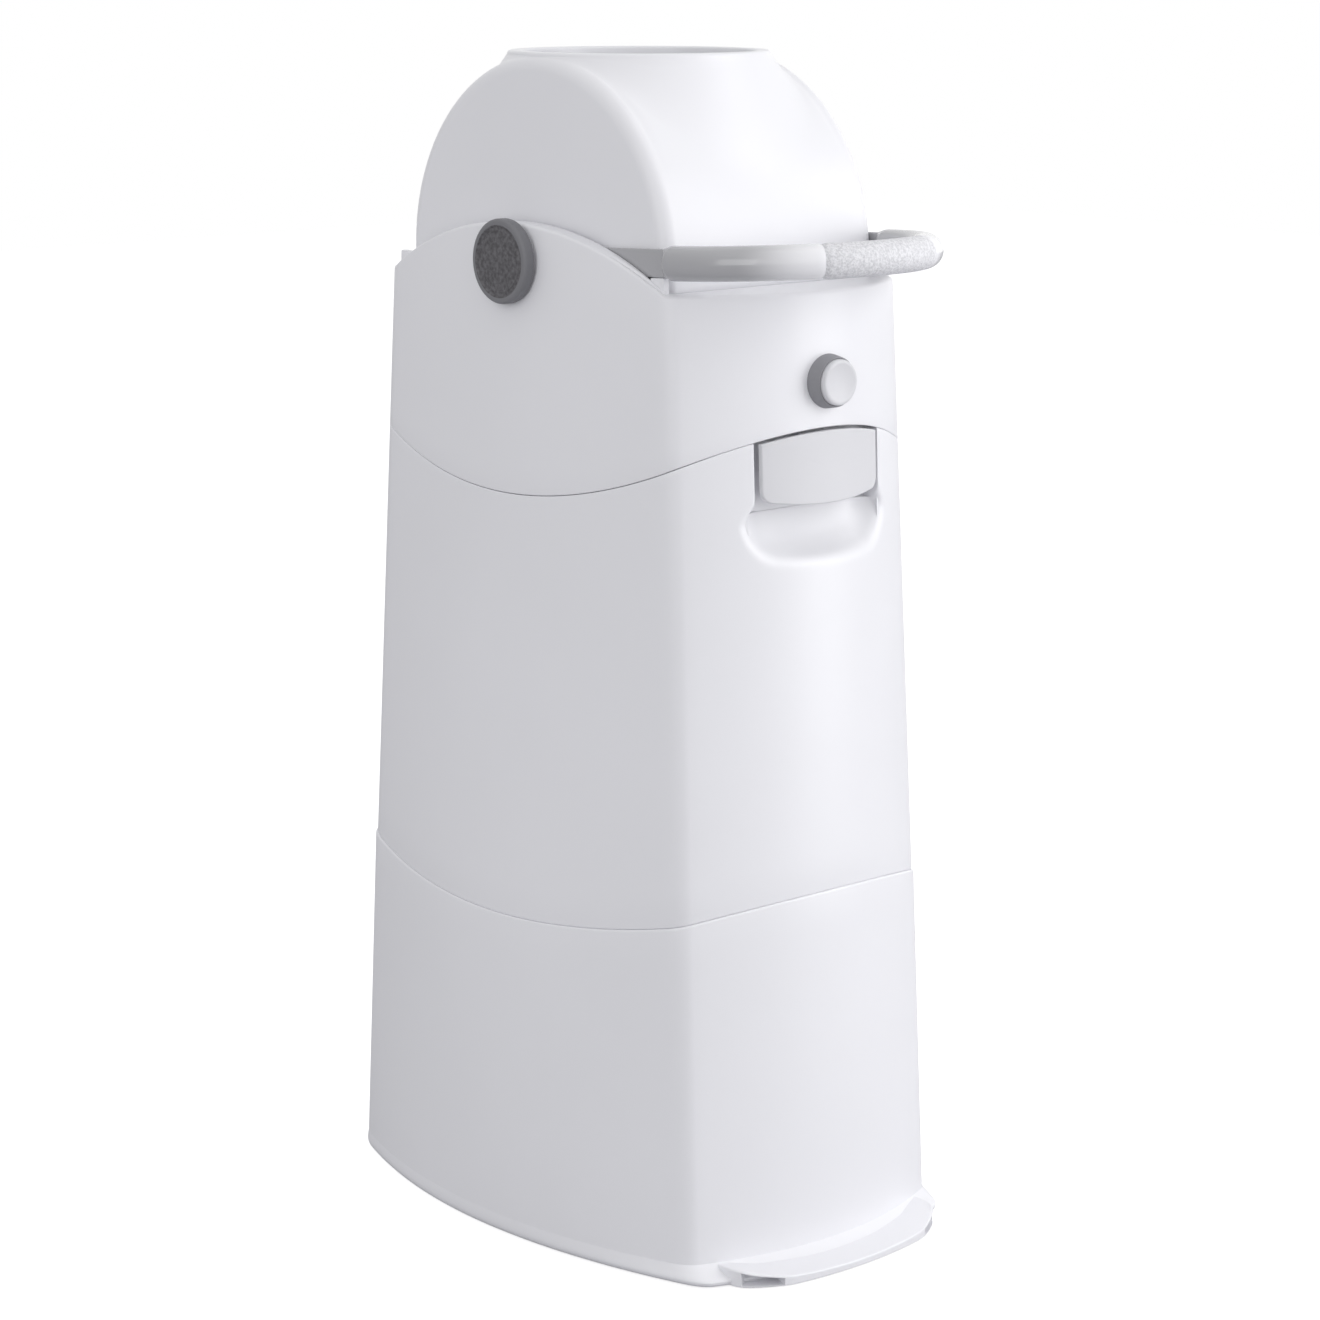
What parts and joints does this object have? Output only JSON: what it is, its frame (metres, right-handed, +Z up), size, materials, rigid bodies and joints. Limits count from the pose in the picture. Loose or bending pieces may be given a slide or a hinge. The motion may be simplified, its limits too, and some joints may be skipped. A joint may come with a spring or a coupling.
{
  "type": "nappy bin",
  "caption": "Free-standing nappy bin: tapered body, domed top with a round mouth, tip-over handle that turns a barrel with a gravity piston, rear-hinged hood with a front latch.",
  "frame": {"origin": "on the floor straight below the middle of the hub axis, on the middle rubber foot", "axes": "+Z up, +Y to the back with the hinge, -Y to the front with latch and button, +X to the right seen from the front"},
  "size_m": [0.2656, 0.3982, 0.7115],
  "materials": {
    "white": "smooth satin moulding",
    "inner_white": "smooth moulding",
    "gloss_white": "high gloss",
    "pale_grey": "fine matt texture",
    "mid_grey": "fine matt texture",
    "dark_grey": "fine matt texture",
    "soft_grip": "soft speckled sleeve",
    "rubber": "matt rubber",
    "steel": "plain steel"
  },
  "bodies": {
    "bin": {"base_plinth": "white", "plinth_screws": "steel", "rubber_feet": "rubber", "lower_tub": "white", "upper_sleeve": "white", "bag_ring": "pale_grey", "latch_pin": "steel", "latch_spring": "steel", "hinge_lower": "white", "hinge_pin": "steel"},
    "hood": {"hood_shell": "white", "hood_catch": "white", "hinge_upper": "white", "dome_shell": "white", "mouth_seal": "rubber", "lower_housing": "inner_white", "outlet_seal": "rubber", "hood_screws": "steel", "hub_bush_left": "mid_grey", "hub_bush_right": "mid_grey", "button_housing": "mid_grey", "button_spring": "steel"},
    "turning_barrel": {"barrel": "inner_white", "barrel_bore": "inner_white", "barrel_end_left": "inner_white", "barrel_end_right": "inner_white", "barrel_screws": "steel", "handle_arm_left": "gloss_white", "handle_arm_right": "gloss_white", "handle_core": "mid_grey", "handle_grip": "soft_grip", "hub_cap_left": "dark_grey", "hub_cap_right": "dark_grey", "hub_screws": "steel"},
    "piston": {"piston_body": "inner_white", "piston_weight": "steel", "piston_cover": "pale_grey", "piston_seals": "rubber", "piston_screws": "steel"},
    "latch": {"latch_flap": "pale_grey"},
    "button": {"push_button": "pale_grey", "button_clip": "steel"}
  },
  "joints": [
    {"name": "hood_hinge", "type": "hinge", "parent": "bin", "child": "hood", "pos_m": [0, 0.17284, 0.5], "axis": [-1, 0, 0], "range_deg": [0, 95]},
    {"name": "barrel_turn", "type": "hinge", "parent": "hood", "child": "turning_barrel", "pos_m": [0, 0, 0.5916], "axis": [-1, 0, 0], "range_deg": [0, 174.4]},
    {"name": "piston_slide", "type": "slide", "parent": "turning_barrel", "child": "piston", "axis": [0, 0.0488, 0.9988], "range_m": [0, 0.1084]},
    {"name": "latch_hinge", "type": "hinge", "parent": "bin", "child": "latch", "pos_m": [0, -0.1569, 0.491], "axis": [-1, 0, 0], "range_deg": [0, 12], "stiffness_Nm_per_rad": 0.3},
    {"name": "button_press", "type": "slide", "parent": "hood", "child": "button", "axis": [0, 1, 0], "range_m": [0, 0.0025], "stiffness_N_per_m": 400, "deforming": ["button_spring"]}
  ]
}
